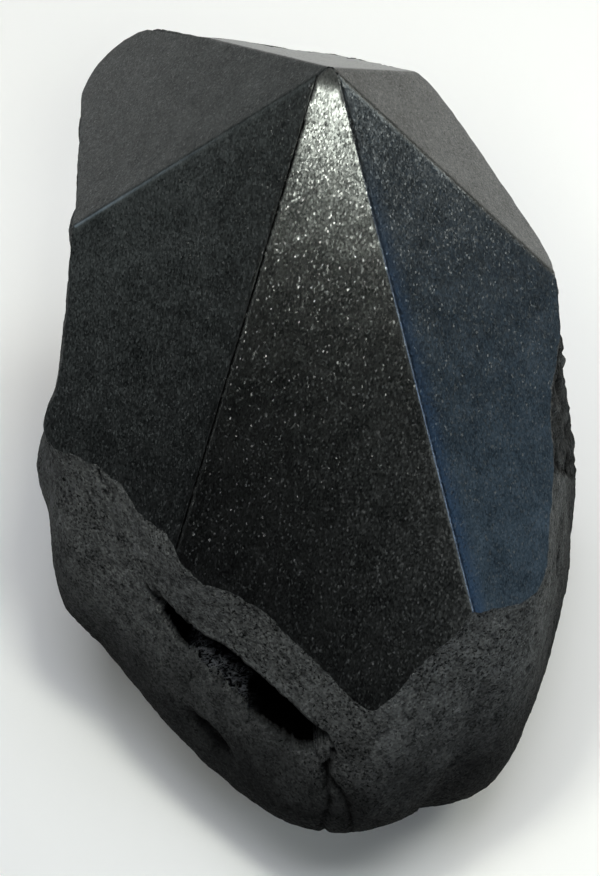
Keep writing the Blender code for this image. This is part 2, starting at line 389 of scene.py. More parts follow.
def bearing_and_tilt(point):
    """Bearing and tilt of a point, seen from the stone's middle."""
    way = (point - MIDDLE) / np.linalg.norm(point - MIDDLE)
    return math.degrees(math.atan2(way[0], -way[1])), math.degrees(math.asin(way[2]))


def rim_corner(one, other):
    """Bearing at which the edge between two facets runs out to the skin."""
    along = np.cross(NORMALS[one], NORMALS[other])
    along = along / np.linalg.norm(along) * (-1.0 if along[2] > 0.0 else 1.0)
    sides = np.array([NORMALS[one], NORMALS[other]])
    offsets = [(PLANE_POINTS[name] - APEX) @ NORMALS[name] for name in (one, other)]
    start = APEX + np.linalg.lstsq(sides, np.array(offsets), rcond=None)[0]

    def within(reach):
        point = start + along * reach[0]
        bearing, tilt = bearing_and_tilt(point)
        on_skin, _ = skin(np.array([bearing]), np.array([tilt]))
        return np.array([np.linalg.norm(point - MIDDLE) < np.linalg.norm(on_skin[0] - MIDDLE)])

    reach = turning_value(within, *EDGE_LENGTHS, 1)[0]
    return bearing_and_tilt(start + along * reach)[0]


def column_bearings():
    """Bearings of the mesh's columns, with one on each facet corner."""
    bearings = np.concatenate([np.arange(start, end - step / 2.0, step) for start, end, step in SKIN_COLUMNS])
    for one, other in zip(NAMES, NAMES[1:] + NAMES[:1]):
        corner = rim_corner(one, other)
        bearings[np.argmin(np.abs(bearings - corner))] = corner
    return bearings


def gash_along(bearings):
    """Long gash at each bearing: its upper lip, its opening, its two depths and its blackness."""
    columns = np.array(LONG_GASH).T
    lip = np.interp(bearings, columns[0], columns[1])
    opening, crevice, floor, black = (np.interp(bearings, columns[0], column) for column in columns[2:])
    return lip, opening, crevice, floor, black


def gash_fibres(bearings, tilts):
    """Height of the fibres on the gash's floor, in mm: bent strands that run down to the right."""
    away = np.stack([bearings, tilts, np.zeros(len(tilts))], axis=1)
    bend = np.array([noise.noise(place) for place in (away * SWINGS).tolist()])
    turned = np.radians(FIBRE_LEAN + FIBRE_SWING * bend)
    strand = np.stack([(bearings * np.cos(turned) + tilts * np.sin(turned)) * FIBRE_ALONG,
                       (tilts * np.cos(turned) - bearings * np.sin(turned)) * GASH_MM_PER_DEGREE / FIBRE_MM,
                       FIBRE_CHANGE * bend], axis=1)
    return FIBRE_HEIGHT_MM * np.array([1.0 - 2.0 * abs(noise.noise(place)) for place in strand.tolist()])


class Surface:
    """Corners and faces of the whole stone as they are made. The marks, from 0 to 1, say where its skin has
    painted shade in recesses or on the underside or lies near the rim, and where its facets have wear with
    painted shade, a painted blue reflection or a painted highlight."""

    def __init__(self):
        self.places, self.faces, self.kinds = [], [], []
        self.marks = {"sunk": [], "worn": [], "under": [], "blue_reflection": [], "rim": [], "edge_highlight": []}

    def add(self, place, **marks):
        self.places.append(np.array(place, float))
        for name, values in self.marks.items():
            values.append(marks.get(name, 0.0))
        return len(self.places) - 1

    def face(self, corners, kind):
        self.faces.append(tuple(corners))
        self.kinds.append(kind)


GROUND, BROKEN, GASH, FOOT = range(4)


def gash_row(bearings, even, lip, band):
    """One row across the gash, this share of the way from its upper lip to its lower one."""
    _, opening, crevice, floor, black = gash_along(bearings)
    gaping = smoothly(opening, *GASH_GAPES)
    past_wall = max(0.0, even - GASH_WALL) / (1.0 - GASH_WALL)
    down_wall = min(1.0, even / GASH_WALL)
    share = even + (past_wall - even) * gaping
    across = band * share / np.maximum(opening, LEAST_OPENING)
    tilt = lip - band * share
    rise = FLOOR_RISE + FLOOR_RISE_LATER * np.maximum(smoothly(floor, *DEEP_FLOOR_MM), black)
    depth = floor * (1.0 - smoothly(across, rise, 1.0))
    depth += (crevice - floor) * (1.0 - smoothly(across, *CREVICE_END))
    fibres = gash_fibres(bearings, tilt) * smoothly(across, *FIBRES_START)
    fibres *= 1.0 - smoothly(across, *FIBRES_END)
    depth -= fibres * np.minimum(floor / FIBRES_FULL_MM, 1.0) * gaping
    depth *= down_wall ** WALL_ROUNDING
    undercut = GASH_UNDERCUT * gaping * down_wall * (1.0 - smoothly(across, *UNDERCUT_END))
    return tilt + undercut, depth * smoothly(opening, *GASH_OPENS), 1.0 - smoothly(across, *CREVICE_BLACK_END)


def skin_rows(bearings):
    """Rows of the skin from the rim to the foot: each column's tilt there, how deep the gash sinks it, in
    mm, and its share of the black shade painted in the crevice."""
    count = len(bearings)
    rim = turning_value(lambda tilts: heights_above(skin(bearings, tilts)[0]).max(axis=1) < 0.0,
                        *RIM_TILTS, count)
    foot = turning_value(lambda tilts: skin(bearings, tilts)[0][:, 2] > 0.0, *FOOT_TILTS, count)
    gash_lip, opening = gash_along(bearings)[:2]
    rows = ROWS_ABOVE + ROWS_ACROSS + ROWS_BELOW
    by_gash = smoothly(bearings, *GASH_ROWS_START) * (1.0 - smoothly(bearings, *GASH_ROWS_END))
    even_lip = rim - (rim - foot) * ROWS_ABOVE / rows
    lip = np.minimum(even_lip + (gash_lip - even_lip) * by_gash, rim - LIP_BELOW_RIM)
    even_band = (rim - foot) * ROWS_ACROSS / rows
    band = np.maximum(opening, even_band + (LEAST_GASH_BAND - even_band) * by_gash)

    level = np.zeros(count)
    for row in range(ROWS_ABOVE):
        yield rim + (lip - rim) * row / ROWS_ABOVE, level, level
    for row in range(ROWS_ACROSS):
        yield gash_row(bearings, row / ROWS_ACROSS, lip, band)
    for row in range(ROWS_BELOW + 1):
        yield lip - band + (foot - lip + band) * row / ROWS_BELOW, level, level


def skin_marks(bearings, points, deep, crevice_black, dark):
    """How much painted shade each point gets in recesses and on the underside, and how near the rim it is."""
    deep_here = deep * (1.0 + lumps(points, *DEPTH_UNEVEN))
    black_here = gash_along(bearings + lumps(points, *BLACK_WANDER))[4]
    inside_black = np.maximum(black_here, crevice_black * (1.0 + lumps(points, *CREVICE_RAGGED)))
    # painted shade in recesses: darker the deeper a place lies in the gash, and in pits, seams, dents and the
    # hollow
    sunk = np.maximum(smoothly(deep_here, *DARK_MM), inside_black * smoothly(deep_here, *PIT_DARK_MM))
    sunk = np.clip(np.maximum(sunk, dark), 0.0, 1.0)
    # painted shade on the underside, fading out upwards
    height = points[:, 2] / MM + lumps(points, *UNDERSIDE_RAGGED)
    under = UNDERSIDE_SHADE * (1.0 - smoothly(height, *UNDERSIDE_MM))
    rim = 1.0 - smoothly(-heights_above(points).max(axis=1) / MM, *PORES_BELOW_RIM_MM)
    rim *= smoothly(lumps(points, *PORE_PATCHES), *PORE_PATCH_BORDER)
    return sunk, under, rim


def skin_band(surface):
    """Rough skin from the facets down to the foot. Returns the rows of corners, from the rim down."""
    bearings = column_bearings()
    rows = list(skin_rows(bearings))
    grid = []
    for tilts, deep, crevice_black in rows:
        points, dark = skin(bearings, tilts)
        points = points - outward(bearings, tilts) * (MM * deep)[:, None]
        marks = zip(*skin_marks(bearings, points, deep, crevice_black, dark))
        grid.append([surface.add(place, sunk=sunk, under=under, rim=rim)
                     for place, (sunk, under, rim) in zip(points, marks)])
    for upper, lower, (_, deep, _) in zip(grid, grid[1:], rows[1:]):
        for here in range(len(bearings)):
            beside = (here + 1) % len(bearings)
            kind = GASH if min(deep[here], deep[beside]) > GASH_FINISH_FROM_MM else BROKEN
            surface.face((upper[here], lower[here], lower[beside], upper[beside]), kind)
    for corner in grid[-1]:
        surface.places[corner][2] = 0.0
    return grid


# mesh of the facets: steps along their edges and over their planes, how far the second row beside an edge
# lies beyond the first, and the least gaps of a row from the outline, as a share of its distance from its
# edge, from other rows, and of the plane's points from the rows
EDGE_STEP, FACET_STEP = 0.00022, 0.0010
ROW_BEYOND, OUTLINE_GAP, ROW_GAP, GRID_GAP = 0.00032, 0.93, 0.00011, 0.00045
FOOT_STEP = 0.0016
TRIANGLE_HEIGHT = 0.866   # of an even triangle, as a share of its side
# flat fills: only triangles inside the outline are kept, and points closer than this in mm are one
INSIDE_ONLY, SAME_POINT_MM = 1, 1e-7
# three planes of a lesser determinant meet in no point; then how far over the planes and under the point
# a corner of the tip lies at most
NO_CORNER, ON_PLANE, TIP_WITHIN = 1e-6, 1e-8, 0.01
ON_FACET_MM = 0.02        # height over a facet's plane below which a corner lies on it
# how far the rounding of an edge reaches into its facets, how chipped it is, how dark the line of painted
# shade along it is, and how bright the painted highlight on it is
EDGE_WEAR_SHADE_AND_HIGHLIGHT = {
    frozenset(("upper left", "left")): (0.00030, 0.0, 0.0, 0.4),
    frozenset(("left", "front")): (0.00013, 0.7, 1.0, 0.0),
    frozenset(("front", "right")): (0.00013, 0.4, 0.0, 0.75),
    frozenset(("right", "upper right")): (0.00028, 0.1, 0.0, 0.0),
    frozenset(("upper right", "back")): (0.00018, 0.1, 0.0, 0.0),
    frozenset(("back", "upper left")): (0.00022, 0.2, 0.0, 0.0),
}
TIP_WEAR_AND_SHADE = (0.00012, 0.6, 0.4, 0.0)
# heights below the point over which the painted highlight along an edge comes in, how bright it is, and how
# uneven
HIGHLIGHT_FROM_MM, HIGHLIGHT_BRIGHT, HIGHLIGHT_UNEVEN = (5.0, 22.0), 0.8, (0.5, 0.9, 29)
# chips of an edge: their depth, the lumps that place them, and the height of those at which one is cut
CHIP_DEPTH, LARGE_CHIPS, SMALL_CHIPS, CHIPS_FROM = 0.00008, (1.0, 1.3, 4), (0.6, 0.5, 5), (0.12, 0.55)
# dulled end of the front facet, rougher and darkened with painted shade: how far it reaches down from the
# tip, how far in from the sides at the tip and where that ends, in mm, and how dull and dark it is
DULL_TIP_MM, DULL_SIDES_MM, DULL_SIDES_END_MM, TIP_DULLNESS_AND_SHADE = (0.75, 1.0), 0.60, 4.0, 0.72
# its raggedness, the share of that at its sides, the shares of their width over which they end, and the
# least width that shows and the least ramp, in mm
DULL_RAGGED, SIDES_RAGGED, SIDES_END = (0.25, 0.5, 24), 0.2, (0.75, 1.25)
LEAST_SIDES_MM, LEAST_RAMP_MM = 0.02, 0.01
# black line of painted shade along the front facet's left edge: where it fades in below the tip, its width,
# in mm, and its share of that raggedness
LINE_FROM_MM, LINE_MM, LINE_RAGGED = (3.0, 5.0), (0.12, 0.24), 0.3
# painted blue reflection on the right facet: how deep it lies below the front facet's plane where it is
# strongest and where it ends, and its strength
BLUE_REFLECTION_MM, BLUE_REFLECTION_STRENGTH = (0.1, 1.5), 0.8
BLUE_REFLECTION_FROM_MM = (4.0, 12.0)   # heights below the point over which the painted blue reflection comes in


def crown_corners(surface, rim):
    """Corners of the facets: where three planes meet at the tip, and where two meet the skin."""
    corners = []
    for trio in combinations(NAMES, 3):
        sides = np.array([NORMALS[name] for name in trio])
        if abs(np.linalg.det(sides)) < NO_CORNER:
            continue
        place = np.linalg.solve(sides, [PLANE_POINTS[name] @ NORMALS[name] for name in trio])
        above = heights_above(place[None])[0]
        if above.max() < ON_PLANE and place[2] > APEX[2] - TIP_WITHIN:
            # the corners at the tip get full wear and painted shade
            corners.append((surface.add(place, worn=1.0), frozenset(trio)))
    on = heights_above(np.array([surface.places[corner] for corner in rim]))
    for one, other in zip(NAMES, NAMES[1:] + NAMES[:1]):
        gap = np.abs(on[:, NAMES.index(one)]) + np.abs(on[:, NAMES.index(other)])
        corners.append((rim[int(np.argmin(gap))], frozenset((one, other))))
    return corners


def crown_edges(surface, corners):
    """Chains of corners along each edge between two facets, by the pair of facets."""
    chains = {}
    for one, other in combinations(NAMES, 2):
        ends = [corner for corner, planes in corners if one in planes and other in planes]
        if len(ends) != 2:
            continue
        start, end = (surface.places[corner] for corner in ends)
        steps = max(2, round(float(np.linalg.norm(end - start)) / EDGE_STEP))
        between = [surface.add(start + (end - start) * k / steps) for k in range(1, steps)]
        chains[frozenset((one, other))] = [ends[0]] + between + [ends[1]]
    return chains


def rim_stretch(name, rim, corners, on):
    """Facet's stretch of the rim, from left to right."""
    ends = [rim.index(corner) for corner, planes in corners if name in planes and corner in rim]
    for start, end in (ends, ends[::-1]):
        stretch = [(start + k) % len(rim) for k in range((end - start) % len(rim) + 1)]
        if on[stretch[len(stretch) // 2]].argmax() == NAMES.index(name):
            return [rim[k] for k in stretch]


def outline_of(name, stretch, chains):
    """Facet's outline: along its rim from left to right, then back over the point."""
    own = [chain for pair, chain in chains.items() if name in pair]
    outline = list(stretch)
    while own:
        for chain in own:
            if outline[-1] in (chain[0], chain[-1]):
                break
        own.remove(chain)
        outline += (chain if chain[0] == outline[-1] else chain[::-1])[1:]
    return outline[:-1]


def inside(points, outline):
    """Which of the flat points lie inside a closed outline."""
    within = np.zeros(len(points), bool)
    for (ax, ay), (bx, by) in zip(outline, np.roll(outline, -1, axis=0)):
        crosses = (ay > points[:, 1]) != (by > points[:, 1])
        if ay != by:
            within ^= crosses & (points[:, 0] < (bx - ax) * (points[:, 1] - ay) / (by - ay) + ax)
    return within


def away_from(points, others, least):
    """Which of the flat points keep at least this distance from all the others."""
    clear = np.ones(len(points), bool)
    for other in others:
        clear &= ((points - other) ** 2).sum(axis=1) > least * least
    return clear


def flat_grid(outline, step, gap, others=()):
    """Points inside a flat outline in a pattern of even triangles, with a gap to it and to other points."""
    low, high = outline.min(axis=0), outline.max(axis=0)
    points = []
    for row in range(int((high[1] - low[1]) / (step * TRIANGLE_HEIGHT)) + 1):
        start = low[0] + (step / 2.0 if row % 2 else 0.0)
        points += [(x, low[1] + row * step * TRIANGLE_HEIGHT) for x in np.arange(start, high[0], step)]
    points = np.array(points)
    points = points[inside(points, outline)]
    points = points[away_from(points, outline, gap)]
    return points[away_from(points, others, gap)]


def fill_flat(surface, outline, inner, to_flat, to_place, kind):
    """Triangles over a flat outline through the inner points."""
    flat = np.vstack([[to_flat(surface.places[corner]) for corner in outline], inner]) / MM
    made = delaunay_2d_cdt([Vector(point) for point in flat], [], [list(range(len(outline)))],
                           INSIDE_ONLY, SAME_POINT_MM)
    points, _, triangles, origins = made[:4]
    corners = {}
    for k, sources in enumerate(origins):
        if sources and sources[0] < len(outline):
            corners[k] = outline[sources[0]]
        else:
            corners[k] = surface.add(to_place(np.array(points[k]) * MM))
    for triangle in triangles:
        surface.face([corners[k] for k in triangle], kind)


def facet_plane(name):
    """How to turn a place on a facet into flat coordinates, across it and up it, and back."""
    normal, start = NORMALS[name], PLANE_POINTS[name]
    across = np.cross((0.0, 0.0, 1.0), normal)
    across /= np.linalg.norm(across)
    up = np.cross(normal, across)

    def to_flat(place):
        return np.array(((place - start) @ across, (place - start) @ up))

    def to_place(flat):
        return start + across * flat[0] + up * flat[1]

    return to_flat, to_place


def beside_edges(lines, outline):
    """Rows of points inside a facet's flat outline, close beside its edges, where its rounding ends."""
    rows = np.empty((0, 2))
    for pair, line in lines.items():
        reach = EDGE_WEAR_SHADE_AND_HIGHLIGHT.get(pair, TIP_WEAR_AND_SHADE)[0]
        way = line[-1] - line[0]
        side = np.array((-way[1], way[0])) / np.linalg.norm(way)
        for offset in (reach, reach + ROW_BEYOND):
            for sign in (1.0, -1.0):
                row = line[1:-1] + side * sign * offset
                row = row[inside(row, outline)]
                row = row[away_from(row, outline, offset * OUTLINE_GAP)]
                row = row[away_from(row, rows, ROW_GAP)]
                rows = np.vstack([rows, row])
    return rows


def ground_facets(surface, rim):
    """Flat facets inside the rim. Returns the chains of corners along the edges between them."""
    corners = crown_corners(surface, rim)
    chains = crown_edges(surface, corners)
    on = heights_above(np.array([surface.places[corner] for corner in rim]))
    for name in NAMES:
        to_flat, to_place = facet_plane(name)
        outline = outline_of(name, rim_stretch(name, rim, corners, on), chains)
        flat = np.array([to_flat(surface.places[corner]) for corner in outline])
        lines = {pair: np.array([to_flat(surface.places[corner]) for corner in chain])
                 for pair, chain in chains.items() if name in pair}
        near = beside_edges(lines, flat)
        inner = np.vstack([near, flat_grid(flat, FACET_STEP, GRID_GAP, near)])
        fill_flat(surface, outline, inner, to_flat, to_place, GROUND)
    return chains


def round_and_paint_edges(surface, chains):
    """Rounds the edges between facets and knocks small chips from them, which show as wear, then paints a
    dark line of shade along one and bright highlights along others.
    """
    for pair, chain in chains.items():
        reach, chipped, line, edge_highlight = EDGE_WEAR_SHADE_AND_HIGHLIGHT.get(pair, TIP_WEAR_AND_SHADE)
        one, other = (NORMALS[name] for name in pair)
        inward = -(one + other) / np.linalg.norm(one + other)
        half_turn = math.acos(float(np.clip(one @ other, -1.0, 1.0))) / 2.0
        lowered = reach / math.tan(half_turn) * (1.0 / math.cos(half_turn) - 1.0)
        places = np.array([surface.places[corner] for corner in chain])
        chips = smoothly(lumps(places, *LARGE_CHIPS) + lumps(places, *SMALL_CHIPS), *CHIPS_FROM) * chipped
        highlights = edge_highlight * smoothly((APEX[2] - places[:, 2]) / MM, *HIGHLIGHT_FROM_MM)
        highlights = highlights * (HIGHLIGHT_BRIGHT + lumps(places, *HIGHLIGHT_UNEVEN))
        for corner, chip, bright in zip(chain[1:-1], chips[1:-1], highlights[1:-1]):
            surface.places[corner] += inward * (lowered + CHIP_DEPTH * chip)
            # chips are marked as wear, the edge's line as painted shade
            surface.marks["worn"][corner] = max(chip, line)
            # painted highlight along the edge
            surface.marks["edge_highlight"][corner] = bright


def dull_and_shade_tip(surface):
    """Dulls the end of the front facet and its sides there, where it has been knocked, and darkens them with
    painted shade, and paints a black line of shade along its left edge."""
    places = np.array(surface.places)
    heights = heights_above(places) / MM
    down = (places - PLANE_POINTS["front"]) @ DOWN_FRONT / MM
    on_front = np.abs(heights[:, NAMES.index("front")]) < ON_FACET_MM
    ragged = lumps(places, *DULL_RAGGED)
    width = DULL_SIDES_MM * (1.0 - smoothly(down, 0.0, DULL_SIDES_END_MM)) + SIDES_RAGGED * ragged
    inner, outer = SIDES_END[0] * width, SIDES_END[1] * width + LEAST_RAMP_MM

    def in_from(name):
        """How far each place on the front facet is from its edge with another facet, in mm."""
        return -heights[:, NAMES.index(name)] / np.sqrt(1.0 - (NORMALS[name] @ NORMALS["front"]) ** 2)

    dull = (1.0 - smoothly(down + ragged, *DULL_TIP_MM)) * on_front
    for name in ("left", "right"):
        side = (1.0 - smoothly(in_from(name), inner, outer)) * on_front * (width > LEAST_SIDES_MM)
        dull = np.maximum(dull, side)
    line = 1.0 - smoothly(in_from("left") + LINE_RAGGED * ragged, *LINE_MM)
    dull = np.maximum(TIP_DULLNESS_AND_SHADE * dull, line * smoothly(down, *LINE_FROM_MM) * on_front)
    for corner in np.flatnonzero(dull):
        surface.marks["worn"][corner] = max(surface.marks["worn"][corner], dull[corner])


def paint_blue_reflection(surface):
    """Paints a blue reflection on the right facet, which fades away from its front edge."""
    places = np.array(surface.places)
    heights = heights_above(places) / MM
    on_facet = np.abs(heights[:, NAMES.index("right")]) < ON_FACET_MM
    blue_share = BLUE_REFLECTION_STRENGTH * (1.0 - smoothly(-heights[:, NAMES.index("front")], *BLUE_REFLECTION_MM)) * on_facet
    blue_share = blue_share * smoothly((APEX[2] - places[:, 2]) / MM, *BLUE_REFLECTION_FROM_MM)
    for corner in np.flatnonzero(blue_share):
        surface.marks["blue_reflection"][corner] = blue_share[corner]


def flat_foot(surface, ring):
    """Flat spot that the stone stands on, inside the last ring of its skin."""
    def to_flat(place):
        return np.array((place[0], -place[1]))

    def to_place(flat):
        return np.array((flat[0], -flat[1], 0.0))

    outline = np.array([to_flat(surface.places[corner]) for corner in ring])
    fill_flat(surface, ring, flat_grid(outline, FOOT_STEP, FOOT_STEP / 2.0), to_flat, to_place, FOOT)


def placed(name, data):
    """New object in the scene."""
    thing = bpy.data.objects.new(name, data)
    bpy.context.scene.collection.objects.link(thing)
    return thing


def crisp_borders(mesh):
    """Turns every face outward and smooth, with a sharp border round the facets and round the foot."""
    bm = bmesh.new()
    bm.from_mesh(mesh)
    bmesh.ops.recalc_face_normals(bm, faces=bm.faces[:])
    for face in bm.faces:
        face.smooth = True
    for edge in bm.edges:
        kinds = {face.material_index for face in edge.link_faces}
        if len(kinds) > 1 and kinds & {GROUND, FOOT}:
            edge.smooth = False
    bm.to_mesh(mesh)
    bm.free()


def paint_undercut_shade(mesh, under):
    """Deepens the painted shade of the underside where the surface faces down."""
    facing = np.empty(3 * len(mesh.vertices), np.float32)
    mesh.vertices.foreach_get("normal", facing)
    shaded_facing_down = UNDERCUT_SHADE * (1.0 - smoothly(facing[2::3], *UNDERCUT_FACING))
    under = 1.0 - (1.0 - under) * (1.0 - shaded_facing_down)
    mesh.attributes["under"].data.foreach_set("value", under.astype(np.float32))


def whole_stone():
    """The stone as one closed mesh, with its marks."""
    surface = Surface()
    grid = skin_band(surface)
    chains = ground_facets(surface, grid[0])
    paint_blue_reflection(surface)
    dull_and_shade_tip(surface)
    round_and_paint_edges(surface, chains)
    flat_foot(surface, grid[-1])

    mesh = bpy.data.meshes.new("hematite_point")
    mesh.from_pydata([tuple(place) for place in surface.places], [], surface.faces)
    for name, values in surface.marks.items():
        mark = mesh.attributes.new(name, "FLOAT", "POINT")
        mark.data.foreach_set("value", np.array(values, np.float32))
    mesh.polygons.foreach_set("material_index", surface.kinds)
    crisp_borders(mesh)
    paint_undercut_shade(mesh, np.array(surface.marks["under"]))
    return placed("hematite_point", mesh)


def paint(code):
    """sRGB hex colour as the linear colour that shaders work in."""
    channels = [int(code[k:k + 2], 16) / 255.0 for k in (1, 3, 5)]
    linear = [c / 12.92 if c <= 0.04045 else ((c + 0.055) / 1.055) ** 2.4 for c in channels]
    return (*linear, 1.0)


def feed(tree, node, inputs):
    """Sets inputs of a node: each is a value or the output that feeds it."""
    for name, value in inputs.items():
        socket = node.inputs[name]
        if isinstance(value, bpy.types.NodeSocket):
            tree.links.new(value, socket)
        else:
            socket.default_value = value


def add(tree, kind, inputs=None, **settings):
    """Adds a node with its settings and its inputs."""
    node = tree.nodes.new(kind)
    for name, value in settings.items():
        setattr(node, name, value)
    feed(tree, node, inputs or {})
    return node


# sockets of a Mix node for colours: its share, the colours at share 0 and at share 1, and the mixed colour
SHARE, AT_0, AT_1, MIXED = 0, 6, 7, 2

# grains of the ground facets, drawn out down the front facet by the wheel: width, length and depth, and
# the turn that lays their length down that facet. Real ones are 0.1 to 0.3 mm, so they show at their size
GRAIN_MM, GRINDING_TURN = (0.13, 0.21, 0.13), (45.0, 0.0, -11.0)
# grains, pores and crumbs of the broken skin, which are as wide every way
SKIN_GRAIN_MM, PORE_MM, CRUMB_MM, UNTURNED = (0.22,) * 3, (0.30,) * 3, (0.42,) * 3, (0.0, 0.0, 0.0)
# how high crumbs of the broken skin and fibres of the gash stand
CRUMB_HEIGHT_MM, GASH_FIBRE_HEIGHT_MM = 0.12, 0.10
# fibres of the gash: length, width and depth
GASH_FIBRE_MM = (1.0, 0.34, 0.5)
# least and most lean of a grain, and the power that makes a strong lean rare, on facets and on skin
GROUND_LEANS, SKIN_LEANS = (0.105, 0.44, 9.0), (0.6, 1.7, 6.0)
# how much a grain's own shade counts, and the detail and roughness of the clouds that it lies in
OWN_SHADE, CLOUD_DETAIL, CLOUD_ROUGHNESS = 0.8, 5.0, 0.7


def leaning_grains(tree, place, widths_mm, turn, least, most, rarity):
    """Shading normal in which each crystal grain leans its own way, most of them a little and a few a
    lot. Returns it with each grain's own shade and how strong its lean is, both from 0 to 1."""
    spread = add(tree, "ShaderNodeMapping", {"Vector": place, "Scale": [width * MM for width in widths_mm],
                                             "Rotation": [math.radians(angle) for angle in turn]},
                 vector_type="TEXTURE")
    grains = add(tree, "ShaderNodeTexVoronoi", {"Vector": spread.outputs["Vector"], "Scale": 1.0})
    own = add(tree, "ShaderNodeTexWhiteNoise", {"Vector": grains.outputs["Position"]}, noise_dimensions="3D")
    rare = add(tree, "ShaderNodeMath", {0: own.outputs["Value"], 1: rarity}, operation="POWER")
    lean = add(tree, "ShaderNodeMapRange", {"Value": rare.outputs["Value"], "To Min": least, "To Max": most})
    centred = add(tree, "ShaderNodeVectorMath", {0: grains.outputs["Color"], 1: (0.5, 0.5, 0.5)},
                  operation="SUBTRACT")
    leaning = add(tree, "ShaderNodeVectorMath", {0: centred.outputs["Vector"],
                                                 "Scale": lean.outputs["Result"]}, operation="SCALE")
    upright = add(tree, "ShaderNodeNewGeometry").outputs["Normal"]
    turned = add(tree, "ShaderNodeVectorMath", {0: upright, 1: leaning.outputs["Vector"]}, operation="ADD")
    normal = add(tree, "ShaderNodeVectorMath", {0: turned.outputs["Vector"]}, operation="NORMALIZE")
    shades = add(tree, "ShaderNodeSeparateColor", {"Color": own.outputs["Color"]})
    return normal.outputs["Vector"], shades.outputs["Red"], rare.outputs["Value"]


def clouded_grains(tree, place, shade, cloud_mm, clouding, span, dark, pale):
    """Colour between dark and pale, by each grain's own shade and by soft clouds of this width."""
    clouds = add(tree, "ShaderNodeTexNoise", {"Vector": place, "Scale": 1.0 / (cloud_mm * MM),
                                              "Detail": CLOUD_DETAIL, "Roughness": CLOUD_ROUGHNESS})
    grain = add(tree, "ShaderNodeMath", {0: shade, 1: OWN_SHADE}, operation="MULTIPLY")
    cloudy = add(tree, "ShaderNodeMath", {0: clouds.outputs["Fac"], 1: clouding, 2: grain.outputs["Value"]},
                 operation="MULTIPLY_ADD")
    share = add(tree, "ShaderNodeMapRange", {"Value": cloudy.outputs["Value"], "From Min": span[0],
                                             "From Max": span[1]})
    return add(tree, "ShaderNodeMix", {SHARE: share.outputs["Result"], AT_0: paint(dark), AT_1: paint(pale)},
               data_type="RGBA").outputs[MIXED]


def crumbled(tree, place, widths_mm, detail, roughness, distortion=0.0):
    """Uneven heights from 0 to 1 whose crumbs, pores or fibres have these widths."""
    spread = add(tree, "ShaderNodeMapping", {"Vector": place, "Scale": [width * MM for width in widths_mm]},
                 vector_type="TEXTURE")
    return add(tree, "ShaderNodeTexNoise", {"Vector": spread.outputs["Vector"], "Scale": 1.0,
                                            "Detail": detail, "Roughness": roughness,
                                            "Distortion": distortion}).outputs["Fac"]


def laid_over(tree, colour, mark, code):
    """Colour with another laid over it by a mark of the stone's mesh."""
    cover = add(tree, "ShaderNodeAttribute", attribute_name=mark)
    return add(tree, "ShaderNodeMix", {SHARE: cover.outputs["Fac"], AT_0: colour, AT_1: paint(code)},
               data_type="RGBA").outputs[MIXED]


def new_finish(name):
    """Finish to be filled in, its node tree, its shader and the place on the stone in metres."""
    finish = bpy.data.materials.new(name)
    finish.use_nodes = True
    tree = finish.node_tree
    return finish, tree, tree.nodes["Principled BSDF"], add(tree, "ShaderNodeTexCoord").outputs["Object"]


def ground_hematite():
    """Ground specular hematite: a dark metallic lustre, half matt from the wheel, in which each
    grain of about 0.2 mm lies at its own angle and so glints or stays dark on its own."""
    finish, tree, shader, place = new_finish("ground_hematite")
    normal, shade, rare = leaning_grains(tree, place, GRAIN_MM, GRINDING_TURN, *GROUND_LEANS)
    colour = clouded_grains(tree, place, shade, cloud_mm=3.2, clouding=2.2, span=(0.8, 2.2),
                            dark="#2e3031", pale="#585a5b")
    # laid over the grains: a painted blue reflection, a painted highlight along edges, then wear and painted
    # shade
    for mark, code in (("blue_reflection", "#3c4857"), ("edge_highlight", "#b4c3d4"), ("worn", "#050505")):
        colour = laid_over(tree, colour, mark, code)
    worn = add(tree, "ShaderNodeAttribute", attribute_name="worn")
    matt = add(tree, "ShaderNodeMapRange", {"Value": rare, "To Min": 0.28, "To Max": 0.42})
    roughness = add(tree, "ShaderNodeMapRange", {"Value": worn.outputs["Fac"],
                                                 "To Min": matt.outputs["Result"], "To Max": 0.75})
    feed(tree, shader, {"Base Color": colour, "Metallic": 1.0, "Roughness": roughness.outputs["Result"],
                        "Normal": normal})
    return finish


